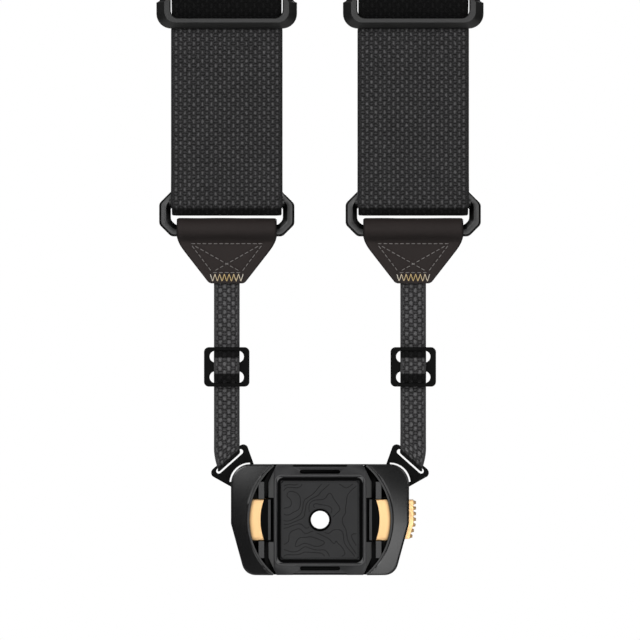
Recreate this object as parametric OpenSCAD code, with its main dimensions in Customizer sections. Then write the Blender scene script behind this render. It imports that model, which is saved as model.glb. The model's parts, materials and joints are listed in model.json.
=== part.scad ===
// Neck strap for a camera, with a quick-release clamp and plate.
// It hangs from its neck band: +Z is up, -Y is the side that faces away from the wearer.
// The origin is on the inner surface of the neck band, at the top of its arch.

/* [Strap] */
// From the top of the neck band down to the middle of the clamp
hang = 480; // [440:10:640]
// Inner radius of the arch that the neck band makes
arch_r = 65; // [55:1:80]
// From the middle of the object to the middle of each leg
leg_x = 34.5; // [34:0.5:38]
// Width of the wide webbing
wide_w = 40.6; // [38:0.2:41]
// Thickness of one layer of the wide webbing
wide_t = 1.9; // [1.6:0.1:2]
// Width of the narrow webbing
narrow_w = 9.3; // [8.5:0.1:10]
// Thickness of the narrow webbing
narrow_t = 2; // [1.6:0.1:2.2]

/* [Sliders and rings] */
// Width of the slider on the wide webbing
wide_slider_w = 52; // [50:0.5:54]
// Height of the slider on the wide webbing
wide_slider_h = 26; // [25:0.5:28]
// Width of the slider on the narrow webbing
ladder_w = 16.8; // [16:0.2:18]
// Height of the slider on the narrow webbing
ladder_h = 14.6; // [14:0.2:16]
// Width of the eight-sided ring
ring_w = 49.8; // [49.6:0.1:52]
// Height of the eight-sided ring
ring_h = 16.6; // [16.2:0.1:17]

/* [Clamp and plate] */
// Width of the clamp
clamp_w = 65.8; // [65.4:0.2:68]
// Height of the clamp
clamp_h = 40.8; // [40.6:0.2:42]
// Radius of the round opening between the cheeks
cavity_r = 26.8; // [26.6:0.1:27.2]
// Width of the dovetail plate
plate_w = 38.1; // [37.9:0.1:38.2]
// Height of the dovetail plate
plate_h = 40.6; // [39:0.2:40.6]
// Diameter of the hole through the plate
hole_d = 6.75; // [6.4:0.05:7]
// How far the thumb button goes in
press = 1.6; // [1.4:0.1:1.6]

/* [Hidden] */
$fn = 48;

// Clearance between pieces that move past each other
gap = 0.3;
eps = 0.01;

// Heights above the middle of the clamp
slider_low_z = 181.6; // lower edge of the wide slider
slider_z = slider_low_z + wide_slider_h / 2;
ring_top_z = 117.6; // axis of the ring's upper bar
ring_low_z = 107;   // axis of the ring's lower bar
ring_z = 113.2;     // middle of the ring's outline
tab_low_z = 87.4;   // lower edge of the tab
ladder_z = 56.5;    // middle of the narrow slider
flex_z = 29.4;      // line on which the narrow webbing bends

// Wide webbing
band_r = arch_r + wide_t / 2;  // radius of the arch's middle surface
doubled_top = 206;             // where the doubled webbing ends
loop_top = 131;                // where the two layers meet above the ring
spread_z = 230;                // where the legs start to part
twist_z = 240;                 // where the webbing starts to turn edge-on
twist_end = 395;               // and where it is edge-on
bar_r = 2.2;                   // round bars of the ring
loop_r = 2.6;                  // inside of the webbing's loop
tab_loop_r = 2.55;             // inside of the tab's loop
tab_t = 3.8;                   // two layers of leather

// Clamp levels along Y, front to back
front_y = -7;
lip_y = -4.7;
pocket_y = -4.9;
seat_y = -1.1;
floor_y = 0.2;
carrier_y = 0.5;
carrier_end = 3.5;
cover_y = 4;
back_y = 5.8;
lug_t = 1.6;

// Clamp outline
half_w = clamp_w / 2;
half_h = clamp_h / 2;
corner_r = 7;
low_corner_r = 5;
knee_z = -1.3;      // where the sides start to slant
slant = 15.3;       // angle of the slanted sides
low_cz = low_corner_r - half_h;
low_cx = half_w - (low_corner_r - (low_cz - knee_z) * sin(slant)) / cos(slant);
corner = [half_w - corner_r, half_h - corner_r];
upper_screw = [27.4, 14.8];
lower_screw = [25, -14.6];
screw_r = 1.1;

// Dovetail plate, levels along Y
plate_front = -6.4;
bevel_top = -5.4;
plate_back = -1.4;
rim_half = 17.1;
bevel = plate_w / 2 - rim_half;
pad_w = 28.5;
pad_front = -7.2;
pad_back = -6;

// Jaws, carriers and pinion
lip_x = rim_half + (lip_y - bevel_top) + gap * sqrt(2);
jaw_x = plate_w / 2 + gap * sqrt(2);
jaw_arc_r = 21.9;
jaw_half = 7.5;
block_in = 22;
block_out = 26.1;
block_front = -4.5;
carrier_out = 26.6;
arm_in = 8.1;
arm_out = 10.6;
button_in = 30.2;
button_face = half_w + 1.7;
tooth_n = 18;
tooth_pitch_r = 7.2;
tooth_half = 0.42;
tooth_tall = 0.55;
boss_r = 5.25;
through_r = 3.7;
spring_z = 12.4;
spring_len = 12;
spring_r = 1.15;
wire_r = 0.25;
web_t = 0.8;             // web between the thumb button and its rack arm
web_half = 7.5;          // the web starts above the jaws' height

// Pockets in the clamp body: how far they go out from the middle, with the button pressed
pocket_out = carrier_out + press + 0.4;
block_room = [17.6, block_out + press + 1.5];
arm_room_half = arm_out + 0.4;
button_room = [button_in - press - gap, half_w + 1.4];
spring_room = [10.9, 3.3, 3.2]; // height above the middle, depth and height

// ---- helpers ----

function arc(c, r, a0, a1, n = 8) =
    [for (i = [0:n]) c + r * [cos(a0 + (a1 - a0) * i / n), sin(a0 + (a1 - a0) * i / n)]];
function mirrored(points) = [for (i = [len(points) - 1:-1:0]) [-points[i][0], points[i][1]]];
function ease(t) = let (u = min(1, max(0, t))) u * u * (3 - 2 * u);
function ease_slope(t) = t < 0 || t > 1 ? 0 : 6 * t * (1 - t);

// Heights are given from the middle of the clamp, which is hang below the origin.
module from_clamp() translate([0, 0, -hang]) children();
module right_side() from_clamp() translate([leg_x, 0, 0]) children();
module left_side() from_clamp() translate([-leg_x, 0, 0]) children();

// What is drawn on the right, or its mirror image on the left.
module on_side(s) if (s > 0) children(); else mirror([1, 0, 0]) children();

// Draws an outline in X and Z, and gives it depth from y0 to y1.
module slab(y0, y1) translate([0, y1, 0]) rotate([90, 0, 0]) linear_extrude(y1 - y0) children();

// Draws a profile in Y and Z, and gives it a width along X.
module across(w) rotate([90, 0, 90]) linear_extrude(w, center = true) children();

// A cylinder along Y, from y0 to y1.
module post(r, y0, y1) translate([0, y1, 0]) rotate([90, 0, 0]) cylinder(r = r, h = y1 - y0);

module rounded(w, h, r) {
    square([w - 2 * r, h], center = true);
    square([w, h - 2 * r], center = true);
    for (x = [-1, 1], y = [-1, 1]) translate([x * (w / 2 - r), y * (h / 2 - r)]) circle(r);
}

module stadium(w, h) {
    square([w - h, h], center = true);
    for (x = [-1, 1]) translate([x * (w - h) / 2, 0]) circle(h / 2);
}

// A loop of thickness t around a bar at height z, which closes up at z_end.
module loop_profile(z, inner, t, z_end, half) {
    outer = inner + t;
    up = z_end > z ? 1 : -1;
    shoulder = 50 * up;
    difference() {
        union() {
            translate([0, z]) circle(outer);
            polygon([
                [outer * cos(shoulder), z + outer * sin(shoulder)],
                [half, z_end], [-half, z_end],
                [-outer * cos(shoulder), z + outer * sin(shoulder)],
            ]);
        }
        translate([0, z]) circle(inner);
    }
}

// ---- wide webbing ----

// Stations of the band: X, Z, lean of the path, twist and thickness.
function leg_station(z) =
    let (
        top = hang - arch_r,
        t = (z - spread_z) / (top - spread_z),
        x = leg_x + (band_r - leg_x) * ease(t),
        lean = atan((band_r - leg_x) * ease_slope(t) / (top - spread_z)),
        twist = 90 * ease((z - twist_z) / (twist_end - twist_z))
    )
    [x, z - hang, lean, twist, z <= doubled_top ? 2 * wide_t : wide_t];
leg_heights = concat(
    [loop_top, doubled_top, doubled_top + eps, spread_z - 2],
    [for (z = [spread_z + 5:8:hang - arch_r - 4]) z]
);
right_leg = [for (z = leg_heights) leg_station(z)];
arch_turns = [for (a = [0:7.5:180]) [band_r * cos(a), band_r * sin(a) - arch_r, -a, 90, wide_t]];
left_leg = [for (i = [len(right_leg) - 1:-1:0]) let (s = right_leg[i])
    [-s[0], s[1], -180 - s[2], s[3], s[4]]];
stations = concat(right_leg, arch_turns, left_leg);

function station_corners(s) =
    let (
        out = [cos(s[2]), 0, -sin(s[2])],
        across_v = out * cos(s[3]) + [0, sin(s[3]), 0],
        deep_v = [0, cos(s[3]), 0] - out * sin(s[3]),
        c = [s[0], 0, s[1]]
    )
    [for (k = [[1, 1], [-1, 1], [-1, -1], [1, -1]])
        c + across_v * k[0] * wide_w / 2 + deep_v * k[1] * s[4] / 2];

module band() {
    n = len(stations);
    points = [for (s = stations, p = station_corners(s)) p];
    sides = [for (i = [0:n - 2], j = [0:3], half = [0, 1])
        let (a = 4 * i + j, b = 4 * i + (j + 1) % 4, c = b + 4, d = a + 4)
        half ? [a, c, b] : [a, d, c]];
    last = 4 * (n - 1);
    polyhedron(points, concat([[0, 1, 2, 3]], sides, [[last + 3, last + 2, last + 1, last]]));
}

module wide_webbing() color("dimgray") {
    band();
    for (x = [-leg_x, leg_x]) from_clamp() translate([x, 0, 0])
        across(wide_w) loop_profile(ring_top_z, loop_r, wide_t + 0.1, loop_top, wide_t);
}

// ---- slider on the wide webbing ----

slider_front = -wide_t - gap - 3.4;
slider_back = -wide_t - gap;
slider_bar = 3.8;
slider_mid_bar = 3;
slider_waist = [2.4, 5.4]; // width and height of the notch centred on each side

module wide_slider() color("black") slab(slider_front, slider_back) translate([0, slider_z]) {
    difference() {
        rounded(wide_slider_w, wide_slider_h, 5.5);
        rounded(wide_w + 1.4, wide_slider_h - 2 * slider_bar, 2.5);
        for (s = [-1, 1]) translate([s * wide_slider_w / 2, 0]) square(slider_waist, center = true);
    }
    square([wide_w + 2.4, slider_mid_bar], center = true);
}

// The webbing's passage over a bar, as a profile in Y and Z around the bar's middle.
module hump_profile(z, bar_half, bar_front, foot_y, foot_in, foot_out, t) {
    polygon([
        [foot_y, z - foot_out], [bar_front - t, z - bar_half - t / 2],
        [bar_front - t, z + bar_half + t / 2], [foot_y, z + foot_out],
        [foot_y, z + foot_in], [bar_front, z + bar_half + 0.15],
        [bar_front, z - bar_half - 0.15], [foot_y, z - foot_in],
    ]);
}

module wide_webbing_hump() color("dimgray")
    across(wide_w) hump_profile(slider_z, slider_mid_bar / 2, slider_front, slider_back, 4.7, 7.2, wide_t);

// ---- ring: an eight-sided band, open at the top, with a round bar across it ----

ring_t = 4;
ring_band = 4.2;
ring_chamfer = 4.4;
ring_window = wide_w + 0.9;
ring_inner_chamfer = 1.9;

module ring_outline() {
    w = ring_w / 2;
    top = ring_z + ring_h / 2;
    low = ring_z - ring_h / 2;
    inner_w = ring_window / 2;
    inner_low = low + ring_band;
    half_out = [
        [w - ring_chamfer, low], [w, low + ring_chamfer],
        [w, top - ring_chamfer], [inner_w, top - ring_chamfer + w - inner_w],
    ];
    half_in = [[inner_w, inner_low + ring_inner_chamfer], [inner_w - ring_inner_chamfer, inner_low]];
    polygon(concat(half_out, half_in, mirrored(half_in), mirrored(half_out)));
}

module bar_across(z, w) translate([0, 0, z]) rotate([0, 90, 0]) cylinder(r = bar_r, h = w, center = true);

module ring() color("black") {
    difference() {
        slab(-ring_t / 2, ring_t / 2) ring_outline();
        // the band is round where the tab goes round it
        round_w = 2 * tab_top_half + 0.8;
        translate([-round_w / 2, -ring_t, ring_z - ring_h]) cube([round_w, 2 * ring_t, ring_h]);
    }
    bar_across(ring_top_z, ring_window + 1);
    bar_across(ring_low_z, 2 * tab_top_half + 1);
}

// ---- tab, its stitching and the narrow webbing ----

tab_top_half = 18.5;
tab_shoulder = [18.1, 104];
tab_taper = [7.2, 88.8];
tab_low_half = 5.8;
pocket_top = 95;      // how far the narrow webbing goes into the tab
stitch_t = 0.25;

module tab_outline() {
    half = [
        [tab_low_half, tab_low_z], tab_taper, tab_shoulder,
        [tab_top_half, 105.5], [tab_top_half, ring_low_z + 6],
    ];
    polygon(concat(half, mirrored(half)));
}

module tab() color([0.17, 0.16, 0.15]) difference() {
    intersection() {
        slab(-6, 6) tab_outline();
        across(2 * tab_top_half + 2) {
            loop_profile(ring_low_z, tab_loop_r, 2.05, 102.6, tab_t / 2);
            translate([-tab_t / 2, tab_low_z - 1]) square([tab_t, 102.6 - tab_low_z + 1 + eps]);
        }
    }
    translate([-narrow_w / 2, -narrow_t / 2, tab_low_z - 1])
        cube([narrow_w, narrow_t, pocket_top - tab_low_z + 1]);
}

// A row of stitches from a to b, in X and Z on the tab's front face.
module stitch_row(a, b, long = 1.3, pitch = 2.1) {
    d = b - a;
    n = max(1, round(norm(d) / pitch));
    for (i = [0:n - 1]) translate(a + d * (i + 0.5) / n) rotate(atan2(d[1], d[0]))
        square([long, 0.35], center = true);
}

module box_stitching() color("gray") slab(-tab_t / 2 - stitch_t, -tab_t / 2) {
    top = [[-13.4, 102.1], [13.4, 102.1]];
    low = [[-5.4, 91.4], [5.4, 91.4]];
    stitch_row(top[0], top[1]);
    stitch_row(low[0], low[1]);
    for (s = [-1, 1]) {
        stitch_row([s * 13, 101.3], [s * 5.9, 92.2]);
        stitch_row([s * 11.6, 101], [s * 1.2, 95.5]);
        stitch_row([-s * 1.2, 93.9], [-s * 4.4, 92.2]);
    }
}

module bartack() color("tan") slab(-tab_t / 2 - stitch_t, -tab_t / 2) {
    teeth = 7;
    w = 12.2;
    top = 90.9;
    low = 88.2;
    side = 0.2;
    for (i = [0:2 * teeth - 1]) {
        x = -w / 2 + w * i / (2 * teeth);
        z0 = i % 2 == 0 ? low : top;
        z1 = i % 2 == 0 ? top : low;
        next_x = x + w / (2 * teeth);
        polygon([[x - side, z0], [x + side, z0], [next_x + side, z1], [next_x - side, z1]]);
    }
}

module narrow_webbing() color("dimgray")
    translate([-narrow_w / 2, -narrow_t / 2, flex_z + narrow_t / 2 + gap])
        cube([narrow_w, narrow_t, pocket_top - flex_z - narrow_t / 2 - gap]);

// ---- slider on the narrow webbing ----

ladder_t = 1.6;
ladder_back = -narrow_t / 2 - gap;
ladder_front = ladder_back - ladder_t;
ladder_slot_h = 4.3;
ladder_mid = 3.3;

module narrow_slider() color("black") slab(ladder_front, ladder_back) translate([0, ladder_z])
    difference() {
        rounded(ladder_w, ladder_h, 1.8);
        for (s = [-1, 1]) translate([0, s * (ladder_mid + ladder_slot_h) / 2])
            stadium(12.7, ladder_slot_h);
    }

module narrow_webbing_hump() color("dimgray")
    across(narrow_w)
        hump_profile(ladder_z, ladder_mid / 2, ladder_front, ladder_back, 3.1, 4.6, 1.2);

// ---- lug, drawn at the clamp's upper right corner ----

lug_out = [38.4, 17.3];     // middle of its outer end
lug_up = [28.4, 25.9];      // middle of its upper end
lug_end_r = 1.9;
lug_slot = [[37.5, 17.9], [29.4, 25.1]];
lug_slot_r = 0.95;
lug_gap = 0.65;
lug_root = [[24.6, 20.7], [24, 14], [29, 11.6], [half_w, 12.1]]; // the lug's part inside the clamp

function slot_angle() = let (d = lug_slot[1] - lug_slot[0]) atan2(d[1], d[0]);

module lug_outline() {
    a = slot_angle() - 90;
    difference() {
        polygon(concat(
            arc(lug_out, lug_end_r, -46, a, 6),
            arc(lug_up, lug_end_r, a, 144, 6),
            lug_root
        ));
        polygon(concat(arc(corner, corner_r, 4, 90), arc(corner, corner_r + lug_gap, 90, 4)));
        polygon(concat(
            arc(lug_slot[0], lug_slot_r, a - 180, a),
            arc(lug_slot[1], lug_slot_r, a, a + 180)
        ));
        translate(upper_screw) circle(screw_r + 0.05);
    }
}

module lug() color("black") from_clamp() slab(-lug_t / 2, lug_t / 2) lug_outline();

// The webbing that goes through the lug's slot, in front of the lug and behind it.
module lug_loop() color("dimgray") from_clamp() difference() {
    intersection() {
        slab(-4, 4) {
            k = tan(slot_angle());
            x0 = leg_x - narrow_w / 2;
            x1 = leg_x + narrow_w / 2;
            z0 = lug_slot[0][1] + k * (x0 - lug_slot[0][0]);
            z1 = lug_slot[0][1] + k * (x1 - lug_slot[0][0]);
            polygon([[x0, z0], [x1, z1], [x1, flex_z + 5], [x0, flex_z + 5]]);
        }
        translate([leg_x, 0, 0]) across(narrow_w + 2) {
            translate([0, flex_z]) circle(narrow_t / 2);
            polygon([
                [-narrow_t / 2, flex_z], [narrow_t / 2, flex_z],
                [narrow_t, flex_z - 2.5], [narrow_t, 10], [-narrow_t, 10], [-narrow_t, flex_z - 2.5],
            ]);
        }
    }
    slab(-lug_t / 2, lug_t / 2) lug_outline();
}

// ---- clamp body and cover ----

module clamp_outline() {
    half = concat(
        arc([low_cx, low_cz], low_corner_r, -90, -slant),
        [[half_w, knee_z]],
        arc(corner, corner_r, 0, 90)
    );
    polygon(concat(half, mirrored(half)));
}

module at_screws() for (p = [upper_screw, lower_screw], s = [-1, 1])
    translate([s * p[0], 0, p[1]]) children();

// The four short rails beside the plate: X from and to, Z from and to, and their front
rail = [20.6, 22.7, 7.8, 14.1];
rail_front = -5.2;

module clamp_body() color([0.07, 0.07, 0.08]) from_clamp() difference() {
    union() {
        difference() {
            slab(front_y, cover_y) clamp_outline();
            post(cavity_r, front_y - 1, seat_y);
        }
        for (sx = [-1, 1], sz = [-1, 1])
            translate([sx * (rail[0] + rail[1]) / 2, (seat_y + rail_front) / 2, sz * (rail[2] + rail[3]) / 2])
                cube([rail[1] - rail[0], seat_y - rail_front + 2 * eps, rail[3] - rail[2]], center = true);
    }
    // room for the jaws and the curved blocks, which slide under the cheeks
    for (s = [-1, 1]) on_side(s) translate([block_room[0], pocket_y, -rail[2]])
        cube([block_room[1] - block_room[0], cover_y - pocket_y + 1, 2 * rail[2]]);
    // room for the rack arms and the pinion, around the middle boss
    difference() {
        translate([-pocket_out, floor_y, -arm_room_half]) cube([2 * pocket_out, cover_y, 2 * arm_room_half]);
        post(boss_r, floor_y - 1, cover_y);
    }
    // room for the thumb button and its web
    translate([-pocket_out, floor_y, web_half])
        cube([pocket_out + button_in + web_t + 0.4, cover_y, arm_room_half - web_half]);
    translate([button_room[0], -3.4, -7.5]) cube([button_room[1] - button_room[0], 7.2, 15.2]);
    // spring channels
    for (s = [-1, 1]) rotate([0, s > 0 ? 0 : 180, 0])
        translate([-spring_len, floor_y + gap, spring_room[0]])
            cube([spring_len + press + 0.5, spring_room[1], spring_room[2]]);
    post(through_r, seat_y - 1, cover_y + 1);
    at_screws() post(screw_r + 0.05, -4.6, cover_y + 1);
    for (s = [-1, 1]) on_side(s) slab(-lug_t / 2, lug_t / 2) lug_pocket();
}

module lug_pocket() polygon(concat([[34, 22], [lug_root[0][0], 22]], lug_root, [[half_w + 1, 12.4]]));

module back_cover() color([0.09, 0.09, 0.1]) from_clamp() difference() {
    slab(cover_y, back_y) scale([0.97, 0.955]) clamp_outline();
    post(through_r, cover_y - 1, back_y + 1);
    at_screws() {
        post(screw_r + 0.05, cover_y - 1, back_y + 1);
        post(2.1, 4.6, back_y + 1);
    }
}

module cover_screws() color("silver") from_clamp() at_screws() difference() {
    union() {
        post(screw_r, -4.4, 4.8);
        post(2, 4.6, 5.6);
    }
    slab(4.9, 6) circle(0.9, $fn = 6);
}

// ---- jaws, carriers and pinion, drawn at the right ----

module jaw() color([0.1, 0.1, 0.11]) from_clamp() difference() {
    intersection() {
        post(jaw_arc_r, lip_y, carrier_y);
        translate([0, 0, -jaw_half]) linear_extrude(2 * jaw_half) polygon([
            [lip_x, lip_y], [30, lip_y], [30, carrier_y], [jaw_x, carrier_y],
            [jaw_x, bevel_top + bevel],
        ]);
    }
    for (z = [-4, 4]) translate([20.5, 0, z]) post(0.65, -2, carrier_y + 1);
}

module jaw_screws() color("silver") from_clamp() for (z = [-4, 4]) translate([20.5, 0, z]) {
    post(0.6, -1.9, 2.6);
    post(1.2, 2.4, 3.3);
}

// One rack arm with its curved block. The arm lies below the middle on this side.
module carrier(arm_end) from_clamp() difference() {
    union() {
        slab(carrier_y, carrier_end) {
            translate([lip_x, -arm_out]) square([carrier_out - lip_x, arm_out + jaw_half]);
            translate([arm_end, -arm_out]) square([lip_x - arm_end + 1, arm_out - arm_in]);
            for (i = [-3:3]) translate([i * rack_pitch + rack_pitch / 2, -arm_in]) rack_tooth();
            translate([-1.6, -13.9]) square([1.6, 13.9 - arm_out + eps]);
        }
        difference() {
            post(block_out, block_front, carrier_y + eps);
            post(block_in, block_front - 1, carrier_y + 1);
            translate([-50, -8, -50]) cube([50 + 18, 20, 100]);
            for (s = [-1, 1]) translate([0, -8, s * (jaw_half + 25) - 25]) cube([50, 20, 50]);
        }
    }
    for (z = [-4, 4]) translate([20.5, 0, z]) {
        post(0.65, carrier_y - 1, carrier_end + 1);
        post(1.3, 2.4, carrier_end + 1);
    }
}

rack_pitch = 2 * PI * tooth_pitch_r / tooth_n;

module rack_tooth() polygon([
    [-tooth_half - 0.3, -0.3], [tooth_half + 0.3, -0.3],
    [tooth_half - 0.12, arm_in - tooth_pitch_r + tooth_tall],
    [0.12 - tooth_half, arm_in - tooth_pitch_r + tooth_tall],
]);

module right_carrier() color([0.85, 0.7, 0.45]) carrier(-12);
module left_carrier() color([0.85, 0.7, 0.45]) half_turn() carrier(-31);
module right_jaw() jaw();
module left_jaw() half_turn() jaw();
module jaw_screws_right() jaw_screws();
module jaw_screws_left() half_turn() jaw_screws();

// Turns a piece half a turn about the axis of the plate's hole.
module half_turn() translate([0, 0, -hang]) rotate([0, 180, 0]) translate([0, 0, hang]) children();

module thumb_button() color([0.9, 0.75, 0.5]) from_clamp() {
    top = 7.3;
    low = -7.1;
    face = button_face;
    low_face = face - (knee_z - low) * tan(slant);
    count = 7;
    slab(-3, 3.4) {
        polygon([[button_in, top], [button_in, low], [low_face, low], [face, knee_z], [face, top]]);
        for (i = [0:count - 1]) {
            z = top - 1 - i * (top - low - 2) / (count - 1);
            x = z > knee_z ? face : face - (knee_z - z) * tan(slant);
            polygon([[x - 0.5, z - 0.85], [x + 0.9, z - 0.45], [x + 0.9, z + 0.45], [x - 0.5, z + 0.85]]);
        }
    }
    // the web that joins the button to the rack arm
    slab(carrier_y, 3.4) translate([button_in, top - eps]) square([web_t, arm_in - top + eps]);
}

module pinion() color("gold") from_clamp() slab(0.75, 3.4) difference() {
    union() {
        circle(tooth_pitch_r - tooth_tall - 0.35);
        for (i = [0:tooth_n - 1]) rotate(90 + i * 360 / tooth_n) polygon([
            [6, -tooth_half - 0.3], [tooth_pitch_r + tooth_tall, 0.12 - tooth_half],
            [tooth_pitch_r + tooth_tall, tooth_half - 0.12], [6, tooth_half + 0.3],
        ]);
    }
    circle(boss_r + 0.05);
}

module return_spring() color("silver") from_clamp() {
    turns = 8;
    inside = spring_len - 2 * wire_r - 2 * eps;
    for (i = [0:turns]) translate([-wire_r - eps - inside * i / turns, 2.05, spring_z])
        rotate([0, 90, 0]) rotate_extrude() translate([spring_r - wire_r, 0]) circle(wire_r, $fn = 16);
}
module return_spring_left() return_spring();
module return_spring_right() half_turn() return_spring();

// ---- plate and pad ----

module plate_outline() {
    half = [[16, -plate_h / 2], [plate_w / 2, -14], [plate_w / 2, 14], [16, plate_h / 2]];
    polygon(concat(half, mirrored(half)));
}

module quick_release_plate() color([0.12, 0.12, 0.13]) from_clamp() difference() {
    intersection() {
        slab(plate_front, plate_back) plate_outline();
        translate([0, 0, -30]) linear_extrude(60) polygon([
            [rim_half, plate_front], [rim_half, bevel_top], [plate_w / 2, bevel_top + bevel],
            [plate_w / 2, plate_back], [-plate_w / 2, plate_back],
            [-plate_w / 2, bevel_top + bevel], [-rim_half, bevel_top], [-rim_half, plate_front],
        ]);
    }
    // side notches, where the jaws' lips come over the plate's foot
    for (s = [-1, 1]) translate([s * (rim_half + 2), 0, 0]) slab(plate_front - 1, bevel_top + bevel)
        square([4, 16], center = true);
    // the groove around the pad, and the pad's recess
    slab(plate_front - 1, pad_back) square(pad_w, center = true);
    slab(plate_front - 1, pad_back + 0.3) difference() {
        square(31.8, center = true);
        square(29, center = true);
    }
    for (z = [-17.85, 17.85]) slab(plate_front - 1, plate_back + 1) translate([0, z]) stadium(14.9, 1.45);
    // a shallow step in the middle of each end
    for (s = [-1, 1]) slab(plate_front - 1, plate_front + 0.9) translate([0, s * plate_h / 2])
        square([20, 1.2], center = true);
    post(hole_d / 2, plate_front - 1, plate_back + 1);
}

module plate_pad() color([0.05, 0.05, 0.05]) from_clamp() difference() {
    slab(pad_front, pad_back) rounded(pad_w, pad_w, 0.8);
    post(4.15, pad_front - 1, pad_back + 1);
}

wide_webbing();
left_side() wide_slider();  // wide_slider_left
right_side() wide_slider();  // wide_slider_right
left_side() wide_webbing_hump();  // wide_webbing_hump_left
right_side() wide_webbing_hump();  // wide_webbing_hump_right
left_side() ring();  // ring_left
right_side() ring();  // ring_right
left_side() tab();  // tab_left
right_side() tab();  // tab_right
left_side() box_stitching();  // box_stitching_left
right_side() box_stitching();  // box_stitching_right
left_side() bartack();  // bartack_left
right_side() bartack();  // bartack_right
left_side() narrow_webbing();  // narrow_webbing_left
right_side() narrow_webbing();  // narrow_webbing_right
left_side() narrow_slider();  // narrow_slider_left
right_side() narrow_slider();  // narrow_slider_right
left_side() narrow_webbing_hump();  // narrow_webbing_hump_left
right_side() narrow_webbing_hump();  // narrow_webbing_hump_right
mirror([1, 0, 0]) lug_loop();  // lug_loop_left
lug_loop();  // lug_loop_right
mirror([1, 0, 0]) lug();  // lug_left
lug();  // lug_right
clamp_body();
back_cover();
cover_screws();
left_carrier();
thumb_button();
left_jaw();
jaw_screws_left();
right_carrier();
right_jaw();
jaw_screws_right();
pinion();
return_spring_left();
return_spring_right();
quick_release_plate();
plate_pad();
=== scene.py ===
"""Looks for the camera neck strap and its quick-release clamp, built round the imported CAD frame.

Lengths in the making of pieces are in millimetres from the middle of the clamp: x to the right, y to
the back, z up. at() turns them into metres in the shared frame.
"""
import json
import math

import bmesh
import bpy
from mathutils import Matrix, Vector, noise


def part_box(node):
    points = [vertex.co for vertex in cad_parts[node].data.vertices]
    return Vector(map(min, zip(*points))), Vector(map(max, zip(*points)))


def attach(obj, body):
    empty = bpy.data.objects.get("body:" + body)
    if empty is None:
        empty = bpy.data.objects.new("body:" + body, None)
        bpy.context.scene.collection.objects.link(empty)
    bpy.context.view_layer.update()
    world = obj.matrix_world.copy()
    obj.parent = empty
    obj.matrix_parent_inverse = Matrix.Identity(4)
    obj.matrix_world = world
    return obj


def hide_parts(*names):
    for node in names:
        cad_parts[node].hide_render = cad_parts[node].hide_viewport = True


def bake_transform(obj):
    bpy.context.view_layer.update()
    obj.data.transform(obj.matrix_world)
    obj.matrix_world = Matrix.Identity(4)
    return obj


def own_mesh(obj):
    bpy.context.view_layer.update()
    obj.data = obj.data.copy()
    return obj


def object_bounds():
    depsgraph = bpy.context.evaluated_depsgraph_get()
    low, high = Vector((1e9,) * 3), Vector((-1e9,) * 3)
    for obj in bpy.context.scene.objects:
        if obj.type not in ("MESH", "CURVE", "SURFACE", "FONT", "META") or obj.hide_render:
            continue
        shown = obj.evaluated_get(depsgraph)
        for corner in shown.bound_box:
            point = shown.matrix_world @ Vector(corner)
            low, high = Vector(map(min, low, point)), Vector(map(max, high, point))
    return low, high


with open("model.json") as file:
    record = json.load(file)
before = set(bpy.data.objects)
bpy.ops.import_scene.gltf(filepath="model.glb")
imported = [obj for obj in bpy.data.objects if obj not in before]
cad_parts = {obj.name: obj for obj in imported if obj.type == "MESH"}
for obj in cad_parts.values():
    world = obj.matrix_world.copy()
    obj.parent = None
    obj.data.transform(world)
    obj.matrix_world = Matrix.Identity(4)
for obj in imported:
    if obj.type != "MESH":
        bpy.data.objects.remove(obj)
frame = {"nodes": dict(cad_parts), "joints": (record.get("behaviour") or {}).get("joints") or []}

CAD_BOX = [list(corner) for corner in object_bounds()]
MM = 0.001


# ---------------------------------------------------------------- places, from the frame

def middle(node):
    low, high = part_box(node)
    return (low + high) / 2


CLAMP_Z = middle("clamp_body").z
LEG_X = middle("tab_right").x / MM
JOINT = {joint["name"]: joint for joint in frame["joints"]}
SIDES = {"left": -1, "right": 1}


def at(x, y, z):
    return Vector((x * MM, y * MM, CLAMP_Z + z * MM))


def height(z):
    """A height in the shared frame, as millimetres from the middle of the clamp."""
    return (z - CLAMP_Z) / MM


def extent(node):
    """(lowest, highest) corner of a CAD node, in millimetres from the middle of the clamp."""
    low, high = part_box(node)
    return [Vector((c.x / MM, c.y / MM, height(c.z))) for c in (low, high)]


def width_of(node):
    low, high = extent(node)
    return high.x - low.x


RING_TOP = height(JOINT["ring_left_swing"]["pos_m"][2])
RING_LOW = height(JOINT["tab_left_swing"]["pos_m"][2])
FLEX_Z = height(JOINT["clamp_swing"]["pos_m"][2])
WIDE_W = width_of("wide_webbing_hump_right")
NARROW_W = width_of("narrow_webbing_right") + 0.2
TAB_LOW, TAB_TOP = extent("tab_right")[0].z, extent("tab_right")[1].z
HALF_W, HALF_H = extent("clamp_body")[1].x, extent("clamp_body")[1].z
WIDEN = 0.32                               # how much the wide webbing spreads on each side below its slider
CAVITY_R = 26.8                            # round opening between the clamp's cheeks
KNEE_Z, SLANT = -1.3, math.radians(15.3)   # below the knee the clamp's sides slant inwards


# ---------------------------------------------------------------- shader graphs

def operator(kind, swapped=False):
    def apply(self, *others):
        return self.graph.math(kind, *(others + (self,) if swapped else (self,) + others))
    return apply


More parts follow.
